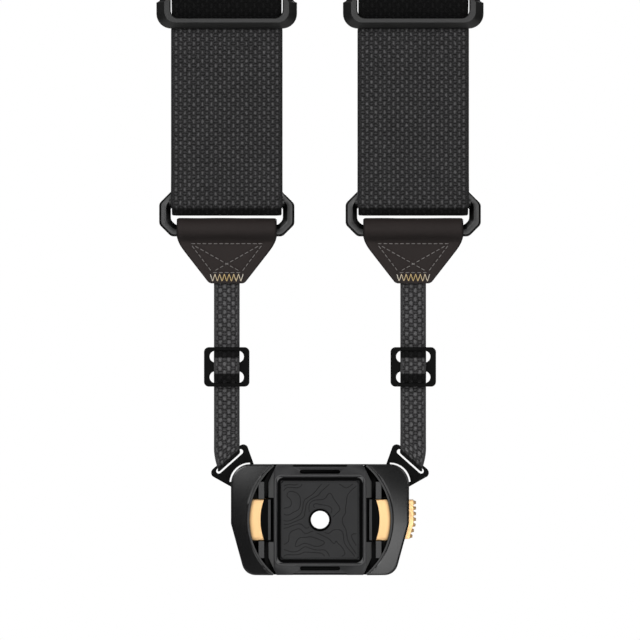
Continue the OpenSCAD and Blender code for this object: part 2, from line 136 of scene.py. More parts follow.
class Value:
    """What comes out of a shader node. Sums with it and comparisons of it become nodes of their own."""

    def __init__(self, graph, socket):
        self.graph, self.socket = graph, socket

    __add__, __radd__ = operator("ADD"), operator("ADD", True)
    __sub__, __rsub__ = operator("SUBTRACT"), operator("SUBTRACT", True)
    __mul__, __rmul__ = operator("MULTIPLY"), operator("MULTIPLY", True)
    __truediv__, __mod__, __pow__ = operator("DIVIDE"), operator("MODULO"), operator("POWER")
    __abs__, __gt__, __lt__ = operator("ABSOLUTE"), operator("GREATER_THAN"), operator("LESS_THAN")
    at_least, at_most = operator("MAXIMUM"), operator("MINIMUM")
    floor, fraction, sine, root = [operator(kind) for kind in ("FLOOR", "FRACT", "SINE", "SQRT")]


class Graph:
    """Makes the nodes of a material or a world. Numbers, colours and Values can all be inputs."""

    def __init__(self, owner):
        owner.use_nodes = True
        self.owner, self.tree = owner, owner.node_tree

    def add(self, kind, **settings):
        node = self.tree.nodes.new(kind)
        for key, value in settings.items():
            setattr(node, key, value)
        return node

    def out(self, node, key=0):
        return Value(self, node.outputs[key])

    def put(self, value, socket):
        if isinstance(value, Value):
            self.tree.links.new(value.socket, socket)
        else:
            socket.default_value = value

    def calc(self, node, *values):
        """The first output of a node, with these as its inputs."""
        for value, socket in zip(values, node.inputs):
            self.put(value, socket)
        return self.out(node)

    def math(self, operation, *values):
        return self.calc(self.add("ShaderNodeMath", operation=operation), *values)

    def vector(self, operation, *values):
        return self.calc(self.add("ShaderNodeVectorMath", operation=operation), *values)

    def split(self, value):
        node = self.add("ShaderNodeSeparateXYZ")
        self.put(value, node.inputs[0])
        return [Value(self, socket) for socket in node.outputs]

    def mix(self, factor, a, b):
        """Mixes two colours."""
        node = self.add("ShaderNodeMix", data_type="RGBA")
        for value, place in ((factor, 0), (a, 6), (b, 7)):
            self.put(value, node.inputs[place])
        return self.out(node, 2)

    def coordinate(self, kind):
        return self.out(self.add("ShaderNodeTexCoord"), kind)

    def noise_node(self, size_mm, place):
        """Noise whose features are about size_mm across."""
        node = self.add("ShaderNodeTexNoise")
        self.put(place, node.inputs["Vector"])
        self.put(1 / (size_mm * MM), node.inputs["Scale"])
        return node

    def noise(self, size_mm, detail=2.0, stretch=(1, 1, 1)):
        mapping = self.add("ShaderNodeMapping")
        self.put(self.coordinate("Object"), mapping.inputs["Vector"])
        self.put(stretch, mapping.inputs["Scale"])
        node = self.noise_node(size_mm, self.out(mapping))
        self.put(detail, node.inputs["Detail"])
        return self.out(node)

    def cells(self, size_mm):
        """Distance to the edge of rounded cells about size_mm across, as on leather."""
        node = self.add("ShaderNodeTexVoronoi", feature="DISTANCE_TO_EDGE")
        self.put(self.coordinate("Object"), node.inputs["Vector"])
        self.put(1 / (size_mm * MM), node.inputs["Scale"])
        return self.out(node, "Distance")

    def attribute(self, name):
        return self.out(self.add("ShaderNodeAttribute", attribute_name=name), "Fac")

    def axes(self):
        """The place on the object as millimetres from the middle of the clamp: x, y and z."""
        x, y, z = [axis / MM for axis in self.split(self.coordinate("Object"))]
        return x, y, z - CLAMP_Z / MM

    def normal(self):
        """How far the surface faces along x, y and z, forwards or backwards."""
        return [abs(axis) for axis in self.split(self.coordinate("Normal"))]

    def scaled(self, tint, factor):
        node = self.add("ShaderNodeVectorMath", operation="SCALE")
        self.put(tint, node.inputs[0])
        self.put(factor, node.inputs["Scale"])
        return self.out(node)

    def set(self, **values):
        shader = self.tree.nodes["Principled BSDF"]
        for key, value in values.items():
            self.put(value, shader.inputs[key.replace("_", " ")])

    def bump(self, relief, depth_mm, strength=1.0):
        node = self.add("ShaderNodeBump")
        self.put(strength, node.inputs["Strength"])
        self.put(depth_mm * MM, node.inputs["Distance"])
        self.put(relief, node.inputs["Height"])
        self.set(Normal=self.out(node))


def surface(name):
    return Graph(bpy.data.materials.new(name))


def colour(r, g, b):
    return (r, g, b, 1.0)


def tints(tone, *factors):
    """Darker and lighter copies of a tone."""
    return [colour(*[part * k for part in tone]) for k in factors]


def oval(a, b, line=0.85):
    """(dome, outline) of an oval round a = b = 0, whose edge is where a * a + b * b is 1.

    The dome falls from 1 to 0 at the edge. The outline is 1 along the edge and falls to 0 over line on
    both sides of it.
    """
    left = 1.0 - (a * a + b * b)
    outline = (1.0 - abs(left / line)).at_least(0.0)
    return left.at_least(0.0).root(), outline


def webbing(name, half_w, warp, weft, tones):
    """Woven tape. Columns of yarn are a pitch apart and repeat every two pitches, each half a repeat on.

    warp and weft are the half sizes of the yarns' ovals, across and along, in pitches and in repeats.
    tones are the grey levels of warp, weft, the ground between, the line round each yarn, which is painted
    shade in the gaps between yarns, and the selvage.
    """
    pitch = 1.6 * MM
    repeat = 2 * pitch
    far = 1000 * repeat                      # keeps places on the tape positive
    ragged = 0.9                             # size and depth of the yarns' raggedness
    selvage_w = 1.0
    plies = 6                                # strands in a pitch
    g = surface(name)
    wobble = g.out(g.noise_node(ragged, g.coordinate("Object")), "Color")
    shift = g.vector("SUBTRACT", wobble, (0.5, 0.5, 0.5))
    flat = g.out(g.add("ShaderNodeUVMap", uv_map="UVMap"))
    across, along, _ = g.split(g.vector("MULTIPLY_ADD", shift, (ragged * MM, ragged * MM, 0), flat))
    columns = (across + far) / pitch
    odd = columns.floor() % 2.0
    rows = (along + far) / repeat + odd * 0.5
    f_across = columns.fraction() - 0.5
    f_warp = rows.fraction() - 0.5
    f_weft = (rows + 0.5).fraction() - 0.5
    warp_up, _ = oval(f_across / warp[0], f_warp / warp[1])
    weft_up, outline = oval(f_across / weft[0], f_weft / weft[1])
    strand = (columns * (2 * math.pi * plies)).sine()
    fuzz = g.noise(0.35, detail=3.0)
    blotch = g.noise(9.0)

    selvage = abs(across) - (half_w - selvage_w) * MM > 0.0
    of_warp, of_weft, of_ground, of_line, of_selvage = [colour(t, t * 0.985, t * 1.01) for t in tones]
    # the line round each weft yarn is painted shade in the gaps between yarns
    base = g.mix(outline, g.mix(weft_up, of_ground, of_weft), of_line)
    base = g.mix(selvage, g.mix(warp_up, base, of_warp), of_selvage)
    light = (0.2 + fuzz * 1.6) * (0.8 + blotch * 0.4)
    g.set(Base_Color=g.scaled(base, light * g.attribute("shade")), Roughness=0.8,
          Specular_IOR_Level=0.10, Sheen_Weight=0.03)
    g.bump(warp_up.at_least(weft_up * 0.7) + strand * 0.06 + fuzz * 0.35, 0.32)
    return g.owner


def leather():
    g = surface("dark_leather")
    pore = g.cells(0.55)
    fold = g.noise(2.5, detail=4.0)
    patch = g.noise(12.0)
    base = g.mix(patch * 0.6 + fold * 0.4, colour(0.0185, 0.0144, 0.0136), colour(0.029, 0.0230, 0.0218))
    g.set(Base_Color=g.scaled(base, g.attribute("shade")), Roughness=0.5 + fold * 0.22,
          Specular_IOR_Level=0.12)
    g.bump((pore * 3.0).at_most(1.0) + fold * 0.8, 0.06, 0.7)
    return g.owner


def thread(name, tone, other_tone, where=lambda g: g.noise(3.5)):
    """Twisted thread whose colour changes from one tone to another where where(graph) is 1."""
    g = surface(name)
    ply = g.noise(0.18, detail=1.0, stretch=(1, 1, 2.5))
    drift = g.mix(where(g), colour(*tone), colour(*other_tone))
    g.set(Base_Color=g.scaled(drift, 0.5 + ply * 0.7), Roughness=0.6, Sheen_Weight=0.2)
    g.bump(ply, 0.05)
    return g.owner


def zigzag_end(g):
    """0 in the middle of a zigzag and 1 at its two ends."""
    off = abs(abs(g.axes()[0]) - LEG_X)
    return (off / ZIGZAG_HALF).at_most(1.0) ** 2.0


def coated_metal(name, tone, rough, specular=0.5, metallic=0.0, grain_depth=0.012, painted_shade=None, chamfer=None):
    """Painted or anodised metal with a fine blasted grain and slightly uneven gloss.

    The mask given for painted shade, a function of the graph, gives 1 where shade is painted into the colour
    and gloss, in places too deep or too turned away for light, and 0 elsewhere.
    chamfer is a grey painted onto slanted side faces: a painted reflection of the lamps beside them.
    """
    g = surface(name)
    grain = g.noise(0.25, detail=3.0)
    cloud = g.noise(14.0)
    base = g.mix(cloud, *tints(tone, 0.82, 1.18))
    if chamfer:
        # painted reflection: slanted side faces get the chamfer grey
        side = g.normal()[0]
        base = g.mix((side > 0.5) * (side < 0.9), base, colour(chamfer, chamfer, chamfer))
    if painted_shade:
        # painted shade: colour and gloss are darkened where the mask is 1
        lit = 1.0 - painted_shade(g) * 0.93
        base, specular = g.scaled(base, lit), specular * lit
    g.set(Base_Color=base, Specular_IOR_Level=specular, Metallic=metallic,
          Roughness=rough - 0.05 + (grain + cloud) * 0.05)
    g.bump(grain, grain_depth)
    return g.owner


def turned_metal(name, tone, rough):
    """Bare metal with fine tool marks."""
    g = surface(name)
    marks = g.noise(0.12, stretch=(1, 0.08, 1))
    g.set(Base_Color=g.mix(marks, *tints(tone, 0.8, 1.05)), Roughness=rough - 0.06 + marks * 0.12,
          Metallic=1.0)
    g.bump(marks, 0.01)
    return g.owner


def pad_rubber():
    """Rubber pad, darker along its engraved lines, which are in the mesh: painted shade in the grooves."""
    g = surface("pad_rubber")
    face = g.mix(g.noise(10.0), colour(0.027, 0.027, 0.028), colour(0.038, 0.038, 0.039))
    g.set(Base_Color=g.mix(g.attribute("line"), face, colour(0.007, 0.007, 0.007)), Roughness=0.72,
          Specular_IOR_Level=0.12)
    g.bump(g.noise(0.2, detail=3.0), 0.02)
    return g.owner


def pale_paint():
    g = surface("floor")
    g.set(Base_Color=g.mix(g.noise(90.0), colour(0.78, 0.78, 0.77), colour(0.84, 0.84, 0.83)), Roughness=0.7)
    return g.owner


# ---------------------------------------------------------------- masks for painted shade, where light hardly reaches

def from_middle(x, z):
    return (x * x + z * z).root()


def in_cavity(g):
    """Painted shade in the clamp's round cavity behind the cheeks' level, but not on the fronts of the rails.
    """
    x, y, z = g.axes()
    return (from_middle(x, z) < CAVITY_R + 0.3) * (y > -4.95)


def in_plate(g):
    """Painted shade in the groove round the plate's pad, the two long slots, and the notches for the jaws."""
    x, y, z = g.axes()
    groove = (abs(x).at_least(abs(z)) < 15.8) * (y > -6.25)
    slots = (abs(x) < 10.2) * (y > -6.3) * (abs(z) > 17.0)
    notches = (abs(z) < 8.2) * (y > -6.2) * (abs(x) > 16.9)
    return groove.at_least(slots.at_least(notches))


def on_bevels(depth):
    """Painted shade on the slopes of a frame's edges, which are made blacker than its flat faces by this
    much.
    """
    return lambda g: (g.normal()[1] < 0.93) * depth


def behind_lip(g):
    """Painted shade on the jaws behind their narrow lips."""
    return abs(g.axes()[0]) > 19.15


def in_body(g):
    """Painted shade on the carriers' arms behind the curved blocks, and a painted shadow on the blocks beside
    the cheeks.
    """
    x, y, z = g.axes()
    beside = ((from_middle(x, z) - (CAVITY_R - 2.4)) / 1.6).at_least(0.0)
    return (y > -1.5).at_least((beside * beside).at_most(1.0) * 0.85)


def on_teeth(g):
    """Painted shade on the serrations beyond the thumb button's flank, which slants below the knee."""
    x, _, z = g.axes()
    flank = HALF_W + 1.6 - (KNEE_Z - z).at_least(0.0) * math.tan(SLANT)
    return (x > flank) * 0.78


GOLD = (0.64, 0.41, 0.20)
BLACK = (0.006, 0.006, 0.006)
ZIGZAG_HALF = 6.1
MATERIAL = {
    "webbing": webbing("wide_weave", WIDE_W / 2 + WIDEN, (0.27, 0.25), (0.58, 0.17),
                       (0.092, 0.044, 0.026, 0.002, 0.018)),
    "narrow_webbing": webbing("narrow_weave", NARROW_W / 2, (0.44, 0.30), (0.62, 0.18),
                              (0.112, 0.054, 0.034, 0.008, 0.045)),
    "leather": leather(),
    "grey_thread": thread("grey_thread", (0.15, 0.135, 0.13), (0.22, 0.205, 0.195)),
    "tan_thread": thread("tan_thread", (0.60, 0.43, 0.17), (0.70, 0.66, 0.58), zigzag_end),
    "black_metal": coated_metal("satin_black", BLACK, 0.34, specular=0.62, painted_shade=on_bevels(0.85)),
    "slider_black": coated_metal("slider_black", BLACK, 0.37, painted_shade=on_bevels(0.25)),
    "matte_black": coated_metal("matte_black", (0.003, 0.003, 0.003), 0.5, specular=0.05),
    "black_anodised": coated_metal("gloss_anodised", (0.003, 0.003, 0.0032), 0.23, specular=0.4,
                                   grain_depth=0.003, painted_shade=in_cavity),
    "black_satin": coated_metal("satin_anodised", (0.008, 0.008, 0.009), 0.4, specular=0.3),
    # the jaws' lighter tone is a painted highlight on the lips' fronts; behind_lip paints shade over the rest
    "jaw_black": coated_metal("jaw_anodised", (0.035, 0.035, 0.036), 0.4, specular=0.3, painted_shade=behind_lip),
    # the plate's chamfer grey is a painted reflection on its bevels, and its mask paints shade in the groove,
    # slots and notches
    "plate_satin": coated_metal("plate_anodised", (0.012, 0.012, 0.013), 0.38, specular=0.3, painted_shade=in_plate,
                                chamfer=0.09),
    # a lighter copy of the plate's finish: a painted highlight on the bead and the groove's corner fillets
    "plate_bead": coated_metal("plate_bead", (0.045, 0.045, 0.046), 0.35),
    "gold_anodised": coated_metal("champagne_anodised", GOLD, 0.34, metallic=1.0, painted_shade=on_teeth),
    "gold_carrier": coated_metal("carrier_anodised", GOLD, 0.34, metallic=1.0, painted_shade=in_body),
    "brass": turned_metal("cut_brass", (0.72, 0.50, 0.20), 0.3),
    "steel": turned_metal("turned_steel", (0.5, 0.5, 0.51), 0.3),
    "black_steel": turned_metal("black_steel", (0.06, 0.06, 0.062), 0.35),
    "rubber": pad_rubber(),
    "floor": pale_paint(),
}


# ---------------------------------------------------------------- mesh helpers

def link(mesh, name, material):
    obj = bpy.data.objects.new(name, mesh)
    bpy.context.scene.collection.objects.link(obj)
    mesh.materials.append(MATERIAL[material])
    return obj


def keep(obj, body, slot, *nodes):
    """Puts a finished piece on its body, in place of the CAD nodes if any are named."""
    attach(obj, body)
    if nodes:
        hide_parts(*nodes)
    return obj


def shade_smooth(mesh, sharp_deg):
    """Shades smoothly except at edges sharper than this."""
    mesh.polygons.foreach_set("use_smooth", [True] * len(mesh.polygons))
    mesh.set_sharp_from_angle(angle=math.radians(sharp_deg))


def face_out(mesh, sharp_deg):
    """Points every face outwards, and shades smoothly except at edges sharper than this."""
    bm = bmesh.new()
    bm.from_mesh(mesh)
    bmesh.ops.recalc_face_normals(bm, faces=bm.faces)
    bm.to_mesh(mesh)
    bm.free()
    shade_smooth(mesh, sharp_deg)
    mesh.update()


def close_up(bm):
    """Fills the flat openings of a mesh."""
    rim = [e for e in bm.edges if e.is_boundary]
    bmesh.ops.triangle_fill(bm, edges=rim, use_beauty=True, use_dissolve=False)
    bmesh.ops.recalc_face_normals(bm, faces=bm.faces)


def ease(t):
    t = min(1.0, max(0.0, t))
    return t * t * (3 - 2 * t)


def along_line(points, t):
    """The value at t on a line through (t, value) points in rising order of t."""
    for (t0, v0), (t1, v1) in zip(points, points[1:]):
        if t <= t1:
            return v0 + (v1 - v0) * max(0.0, (t - t0) / (t1 - t0))
    return points[-1][1]


def steps(start, stop, count):
    return [start + (stop - start) * i / count for i in range(count + 1)]


def direction(a):
    """The unit vector at this angle, in x and z."""
    return Vector((math.cos(a), math.sin(a)))


def columns(width, count, rim=0.25):
    """Places across a strip of this width, with one more column close to each edge."""
    half = width / 2
    return [-half, -half + rim] + steps(-half + rim, half - rim, count)[1:-1] + [half - rim, half]


def sheet_faces(n, m):
    """Faces of a closed sheet, whose front is n rows of m points and whose back is as many more."""
    back = n * m
    faces = []
    for i in range(n - 1):
        for j in range(m - 1):
            a, b, c, d = i * m + j, i * m + j + 1, (i + 1) * m + j + 1, (i + 1) * m + j
            faces += [(a, b, c, d), (back + d, back + c, back + b, back + a)]
        for j in (0, m - 1):
            a, d = i * m + j, (i + 1) * m + j
            faces.append((a, d, back + d, back + a))
    for i in (0, n - 1):
        for j in range(m - 1):
            a, b = i * m + j, i * m + j + 1
            faces.append((a, b, back + b, back + a))
    return faces


EDGE_T = (0.45, 0.88)          # a strip's thickness at its edge and one column in, as a part of its full one


def strip(name, material, rows, half_t, across, along, shade=lambda i, j: 1.0, lift=lambda i, j: 0.0):
    """A closed strip of cloth or leather round a middle surface.

    rows[i][j] are points in metres, i along the strip and j across it. across[j] and along[i] are their
    places on the flat strip, in millimetres. shade darkens the surface, and lift raises its front face.
    """
    n, m = len(rows), len(rows[0])
    points, uvs, shades = [], [], []
    for side in (1, -1):
        for i in range(n):
            for j in range(m):
                d_along = rows[min(i + 1, n - 1)][j] - rows[max(i - 1, 0)][j]
                d_across = rows[i][min(j + 1, m - 1)] - rows[i][max(j - 1, 0)]
                normal = d_along.cross(d_across).normalized()
                rim = min(j, m - 1 - j)
                thinned = half_t * (EDGE_T[rim] if rim < len(EDGE_T) else 1.0)
                up = thinned + (lift(i, j) if side == 1 else 0.0)
                points.append(rows[i][j] + normal * (side * up * MM))
                uvs.append((across[j] * MM, along[i] * MM))
                shades.append(shade(i, j))
    mesh = bpy.data.meshes.new(name)
    mesh.from_pydata([tuple(p) for p in points], [], sheet_faces(n, m))
    layer = mesh.uv_layers.new(name="UVMap")
    for loop in mesh.loops:
        layer.data[loop.index].uv = uvs[loop.vertex_index]
    mesh.attributes.new("shade", "FLOAT", "POINT").data.foreach_set("value", shades)
    face_out(mesh, 70)
    return link(mesh, name, material)


def tube(points, radius, sides=8):
    """Points and faces of a closed tube through these points. radius[i] is its size at points[i]."""
    verts, faces = [], []
    for i, p in enumerate(points):
        ahead = points[min(i + 1, len(points) - 1)] - points[max(i - 1, 0)]
        side = ahead.cross(Vector((0, 1, 0))).normalized()
        up = side.cross(ahead).normalized()
        for k in range(sides):
            a = 2 * math.pi * k / sides
            verts.append(p + (side * math.cos(a) + up * math.sin(a)) * (radius[i] * MM))
    for i in range(len(points) - 1):
        for k in range(sides):
            a, b = i * sides + k, i * sides + (k + 1) % sides
            faces.append((a, b, b + sides, a + sides))
    last = (len(points) - 1) * sides
    faces.append(tuple(range(sides)))
    faces.append(tuple(last + k for k in reversed(range(sides))))
    return verts, faces


def joined(name, material, shapes, sharp_deg=60):
    """One object out of several (points, faces) shapes."""
    verts, faces = [], []
    for v, f in shapes:
        faces += [tuple(k + len(verts) for k in face) for face in f]
        verts += [tuple(p) for p in v]
    mesh = bpy.data.meshes.new(name)
    mesh.from_pydata(verts, [], faces)
    face_out(mesh, sharp_deg)
    return link(mesh, name, material)


def fillet(corners, radius, parts=4, closed=True):
    """An outline with each corner turned into a short curve."""
    out, n = [], len(corners)
    for i, corner in enumerate(corners):
        if not closed and i in (0, n - 1):
            out += [Vector(corner)] * (parts + 1)
            continue
        p = Vector(corner)
        before, after = Vector(corners[i - 1]) - p, Vector(corners[(i + 1) % n]) - p
        cut = min(radius, before.length * 0.45, after.length * 0.45)
        a, b = p + before.normalized() * cut, p + after.normalized() * cut
        out += [a * (1 - t) ** 2 + p * 2 * t * (1 - t) + b * t ** 2 for t in steps(0, 1, parts)]
    return out


def band(outer, inner, profile, closed=True):
    """Points and faces of a frame between two outlines in x and z.

    profile lists (k, y) points round the frame's section: k is 0 on the outer outline and 1 on the inner one.
    """
    n, m = len(outer), len(profile)
    verts = []
    for a, b in zip(outer, inner):
        for k, y in profile:
            p = a.lerp(b, k)
            verts.append(at(p.x, y, p.y))
    faces = []
    for i in range(n if closed else n - 1):
        for k in range(m):
            a, b = i * m + k, i * m + (k + 1) % m
            c, d = (i + 1) % n * m + (k + 1) % m, (i + 1) % n * m + k
            faces.append((a, b, c, d))
    if not closed:
        faces += [tuple(range(m)), tuple((n - 1) * m + k for k in range(m))]
    return verts, faces


def prism(ends):
    """Points and faces of a prism, closed at both ends, whose ends are two outlines with as many points."""
    n = len(ends[0])
    sides = [(k, (k + 1) % n, n + (k + 1) % n, n + k) for k in range(n)]
    return ends[0] + ends[1], sides + [tuple(range(n)), tuple(range(2 * n - 1, n - 1, -1))]


def finished(node, material, bevel, segments=2, keep_part=None):
    """A copy of a CAD node's mesh with its flat faces whole again and its edges broken."""
    mesh = frame["nodes"][node].data.copy()
    mesh.name = node + "_finished"
    mesh.materials.clear()
    bm = bmesh.new()
    bm.from_mesh(mesh)
    bmesh.ops.remove_doubles(bm, verts=bm.verts, dist=0.002 * MM)
    if keep_part:
        keep_part(bm)
    bmesh.ops.dissolve_limit(bm, angle_limit=math.radians(0.8), verts=bm.verts, edges=bm.edges)
    sharp = [e for e in bm.edges if len(e.link_faces) == 2 and e.calc_face_angle() > math.radians(35)]
    bmesh.ops.bevel(bm, geom=sharp, offset=bevel * MM, segments=segments, profile=0.5, affect="EDGES",
                    clamp_overlap=True)
    bmesh.ops.triangulate(bm, faces=[f for f in bm.faces if len(f.verts) > 4])
    if keep_part:
        close_up(bm)
    bm.to_mesh(mesh)
    bm.free()
    shade_smooth(mesh, 22)
    return link(mesh, node + "_finished", material)


# ---------------------------------------------------------------- wide webbing

LAYER_T = 1.86                 # one layer of the wide webbing
LAYER_Y = LAYER_T / 2 + 0.04   # middle of the front layer, where two lie together
LOOP_R = 3.6                   # middle of the webbing's loop round the ring's bar, front and back
LOOP_DROP = 4.2                # the same below the bar
LOOP_END = RING_TOP + 13.4     # where the two layers meet above the loop
APEX = height(0.0)             # inner surface of the band at the top of its arch
ARCH_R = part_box("wide_webbing")[1].x / MM - LAYER_T / 2
SPRING_Z = APEX - ARCH_R + LAYER_T / 2
DOUBLE_END = 206               # where the folded-back layer ends
SPREAD_Z = 230                 # where the legs start to spread
TWIST_Z, TWIST_END = 240, 395  # where they start and end their quarter turn


def leg_place(z):
    """(point, across) on the upper part of the right leg, where it turns edge-on and moves outwards."""
    def path_x(level):
        return LEG_X + (ARCH_R - LEG_X) * ease((level - SPREAD_Z) / (SPRING_Z - SPREAD_Z))
    lean = math.atan2(path_x(z + 0.5) - path_x(z - 0.5), 1.0)
    twist = math.pi / 2 * ease((z - TWIST_Z) / (TWIST_END - TWIST_Z))
    out = Vector((math.cos(lean), 0, -math.sin(lean)))
    return at(path_x(z), 0, z), out * math.cos(twist) + Vector((0, math.sin(twist), 0))


def half_of_neck_path():
    """(point, across) along the right half of the wide webbing, from its fold to the top of the arch."""
    flat = Vector((1, 0, 0))
    spread = [(z, LAYER_Y + (LOOP_R - LAYER_Y) * ease((LOOP_END - z) / (LOOP_END - RING_TOP)))
              for z in steps(LOOP_END, RING_TOP, 9)]
    back = [(LAYER_Y, z) for z in steps(DOUBLE_END, LOOP_END, 18)] + [(y, z) for z, y in spread[1:]]
    turn = [(LOOP_R * math.cos(a), RING_TOP - LOOP_DROP * math.sin(a)) for a in steps(0, math.pi, 18)[1:-1]]
    front = [(-y, z) for y, z in reversed(back)]
    settle = [(-LAYER_Y * (1 - ease((z - DOUBLE_END) / 10)), z)
              for z in steps(DOUBLE_END, DOUBLE_END + 10, 5)[1:]]
    path = [(at(LEG_X, y, z), flat) for y, z in back + turn + front + settle]
    path += [leg_place(z) for z in steps(DOUBLE_END + 10, SPRING_Z, 52)[1:]]
    for a in steps(0, math.pi / 2, 30)[1:]:
        path.append((at(ARCH_R * math.cos(a), 0, SPRING_Z + ARCH_R * math.sin(a)), Vector((0, 1, 0))))
    return path


def neck_webbing():
    right = half_of_neck_path()
    mirror = Vector((-1, 1, 1))
    path = right + [(p * mirror, a * mirror) for p, a in reversed(right[:-1])]
    cols = columns(WIDE_W, 24)
    along, s = [], 0.0
    for k, (p, _) in enumerate(path):
        s += (p - path[k - 1][0]).length / MM if k else 0.0
        along.append(s)
    slider_low = extent("wide_slider_right")[0].z

    def wider(z):
        below_slider = 1 - ease((z - slider_low - 0.3) / 3.0)
        return 1 + 2 * WIDEN / WIDE_W * below_slider * ease((z - RING_TOP + 2.2) / 0.8)

    rows = [[p + a * (x * MM * wider(height(p.z))) for x in cols] for p, a in path]

    def shade(i, j):
        z = height(path[i][0].z)
        under = 1 - ease((z - RING_TOP + 2.2) / 0.6)
        return 1 - 0.9 * under

    return strip("neck_webbing", "webbing", rows, LAYER_T / 2, cols, along, shade)


def hump(name, material, x, width, count, half_t, low, top, reach, lit):
    """Webbing that passes over a slider's middle bar. low and top are (y, z) of its feet and its crown.

    reach and lit are the parts of its half height that lie flat and that the light reaches.
    """
    cols = columns(width, count)
    foot_y, foot_z = low
    crown_y, crown_z = top
    heights = steps(-1.0, 1.0, 44)
    rows, along = [], []
    for k in heights:
        z = crown_z + k * (crown_z - foot_z)
        y = crown_y + (foot_y - crown_y) * ease((abs(k) - reach) / (1 - reach))
        rows.append([at(x + c, y, z) for c in cols])
        along.append(z)

    def shade(i, j):
        return 1 - 0.93 * ease((abs(heights[i]) - lit) / 0.07)

    return strip(name, material, rows, half_t, cols, along, shade)


# ---------------------------------------------------------------- sliders and rings

def shifted(points, x):
    return [Vector((p.x + x, p.y)) for p in points]


def waisted_outline(half_w, low, high, radius, waist):
    """A rectangle in x and z with round corners and a notch this deep in the middle of each side."""
    out = []
    middle_z = (low + high) / 2
    notch_half, slope = 2.7, 0.7
    notch = [(notch_half + slope, 0.0), (notch_half, waist), (-notch_half, waist), (-notch_half - slope, 0.0)]
    for cx, cz, turn in ((half_w, high, 0), (-half_w, high, 1), (-half_w, low, 2), (half_w, low, 3)):
        centre = Vector((cx - math.copysign(radius, cx), cz - (radius if cz == high else -radius)))
        for a in steps(turn * math.pi / 2, (turn + 1) * math.pi / 2, 8):
            out.append(centre + direction(a) * radius)
        if turn in (1, 3):
            side = math.copysign(1, cx)
            out += [Vector((side * (half_w - depth), middle_z - side * z)) for z, depth in notch]
    return out


def wide_slider(side):
    """A frame with a wide bevel outside, dark partly from the lighting and partly from painted shade on its
    slopes, a flat rim round the window, waisted sides and one bar.
    """
    node = "wide_slider_" + side
    low, high = extent(node)
    x, half = (low.x + high.x) / 2, (high.x - low.x) / 2
    bar = 3.8
    window = waisted_outline(WIDE_W / 2 + 0.4, low.z + bar, high.z - bar, 3.0, 0.0)
    outline = waisted_outline(half, low.z, high.z, 5.5, 1.2)
    front, back = low.y, high.y
    profile = [(0.0, back - 0.5), (0.02, back - 1.1), (0.10, back - 1.6), (0.50, front + 0.3), (0.56, front),
               (0.93, front), (1.0, front + 0.35), (1.0, back - 0.4), (0.95, back), (0.06, back)]
    ends = [at(x + s * (WIDE_W / 2 + 1.2), (front + back) / 2, (low.z + high.z) / 2) for s in (-1, 1)]
    shapes = [band(shifted(outline, x), shifted(window, x), profile), tube(ends, [1.5, 1.5], 16)]
    obj = joined(node + "_frame", "slider_black", shapes, 28)
    return keep(obj, node, "black_metal", node)


def ring(side):
    """An eight-sided band, open at the top behind the webbing, with a round bar across it."""
    node = "ring_" + side
    low, high = extent(node)
    x, half = (low.x + high.x) / 2, (high.x - low.x) / 2 + 0.12
    bar, chamfer, inner_chamfer = 4.2, 4.4, 1.9
    inner_half = WIDE_W / 2 + 0.45
    end_half = WIDE_W / 2 + WIDEN + 0.05
    band_top = low.z + 16.6
    end_z = band_top - chamfer + half - end_half
    outer = [(-end_half, end_z), (-half, band_top - chamfer), (-half, low.z + chamfer),
             (chamfer - half, low.z)]
    inner = [(-end_half, end_z - 4.6), (-inner_half, end_z - 6.0), (-inner_half, low.z + bar + inner_chamfer),
             (inner_chamfer - inner_half, low.z + bar)]
    outer, inner = [half_line + [(-px, pz) for px, pz in reversed(half_line)] for half_line in (outer, inner)]
    outer, inner = fillet(outer, 1.0, closed=False), fillet(inner, 1.0, closed=False)
    y = 2.0                                        # half its depth
    profile = [(0.0, 0.9 - y), (0.04, 0.5 - y), (0.18, -y), (0.22, -y), (0.58, -y), (0.64, 0.12 - y),
               (0.93, 0.95 - y), (1.0, 1.3 - y), (1.0, y - 1.0), (0.85, y), (0.15, y), (0.0, y - 0.8)]
    shapes = [band(shifted(outer, x), shifted(inner, x), profile, closed=False)]
    rod = [at(x + e, 0, RING_TOP) for e in steps(-inner_half - 0.6, inner_half + 0.6, 8)]
    shapes.append(tube(rod, [2.2] * len(rod), 20))
    # shoulders where the bar meets the band, between the two layers of webbing
    for s in (-1, 1):
        wide, slim = s * (inner_half + 0.5), s * (inner_half - 0.7)
        foot = fillet([(wide, RING_TOP + 0.6), (wide, RING_TOP - 3.2),
                       (slim, RING_TOP - 1.9), (slim, RING_TOP + 0.6)], 0.4)
        inward = [Vector((s * inner_half, RING_TOP)).lerp(p, 0.9) for p in foot]
        shapes.append(band(shifted(foot, x), shifted(inward, x), [(0, -0.9), (1, -1.0), (1, 1.0), (0, 0.9)]))
    obj = joined(node + "_band", "black_metal", shapes, 28)
    return keep(obj, node, "black_metal", node)


# ---------------------------------------------------------------- tab, stitching and narrow webbing

